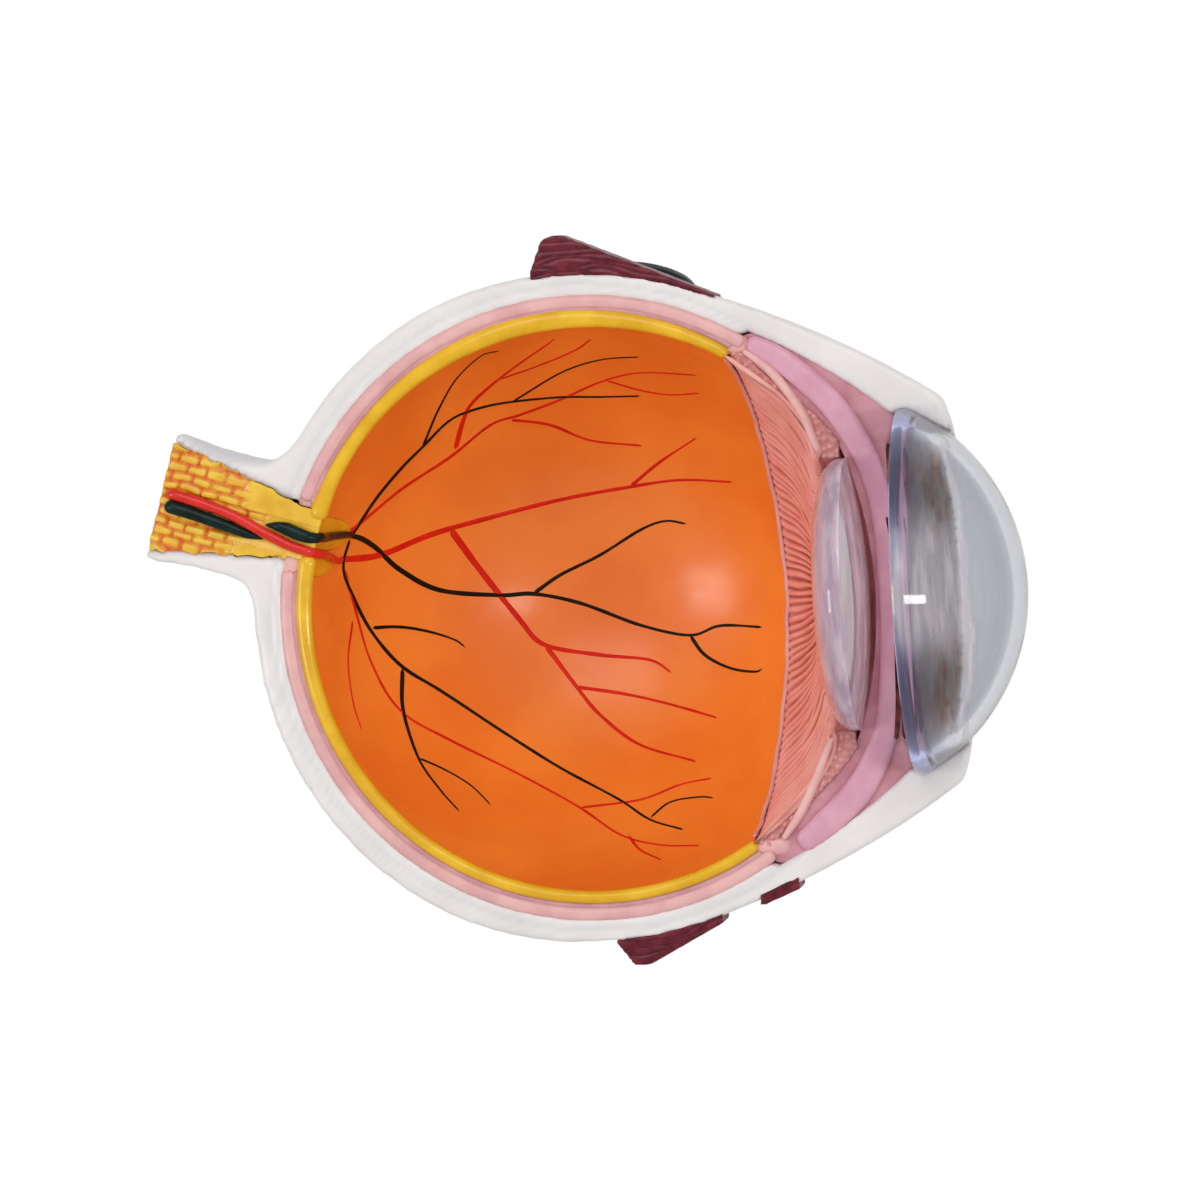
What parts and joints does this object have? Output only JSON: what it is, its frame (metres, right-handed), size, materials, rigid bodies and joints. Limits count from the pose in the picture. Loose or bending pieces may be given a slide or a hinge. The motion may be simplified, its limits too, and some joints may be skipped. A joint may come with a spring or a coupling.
{
  "type": "eye anatomy model",
  "caption": "Opened half of an enlarged human eye for teaching, with layered wall, optic nerve, ciliary ring, iris and muscle stumps, and a clear cornea and lens that lift out.",
  "frame": {"origin": "middle of the eyeball, in the cut face", "axes": "+X along the optical axis towards the cornea, +Z out of the cut face, away from the shell"},
  "size_m": [0.1629, 0.1348, 0.1019],
  "materials": {
    "white_shell": "satin paint",
    "pink_layer": "glossy paint",
    "orange_layer": "glossy paint, yellow at the cut edge",
    "nerve_yellow": "glossy paint",
    "artery_red": "glossy paint",
    "vein_dark": "glossy paint",
    "ciliary_pink": "satin paint",
    "arch_pink": "satin paint",
    "iris_brown": "satin paint",
    "pupil_black": "satin paint",
    "clear_plastic": "clear polished",
    "muscle_maroon": "glossy paint",
    "socket_black": "moulded"
  },
  "bodies": {
    "half_eye": {"sclera_half_shell": "white_shell", "choroid_layer": "pink_layer", "retina_layer": "orange_layer", "optic_nerve_core": "nerve_yellow", "central_artery": "artery_red", "central_vein": "vein_dark", "ciliary_processes": "ciliary_pink", "ciliary_muscle": "ciliary_pink", "iris_diaphragm": "arch_pink", "iris_disc": "iris_brown", "pupil_disc": "pupil_black", "upper_rectus_muscle": "muscle_maroon", "lower_rectus_muscle": "muscle_maroon", "outer_rectus_muscle": "muscle_maroon", "oblique_muscle_tendon": "muscle_maroon", "stand_socket": "socket_black"},
    "lens": {"lens": "clear_plastic"},
    "cornea": {"cornea": "clear_plastic"}
  },
  "joints": [
    {"name": "lens_lift", "type": "slide", "parent": "half_eye", "child": "lens", "axis": [0, 0, 1], "range_m": [0, 0.06]},
    {"name": "cornea_lift", "type": "slide", "parent": "half_eye", "child": "cornea", "axis": [0, 0, 1], "range_m": [0, 0.075]}
  ]
}
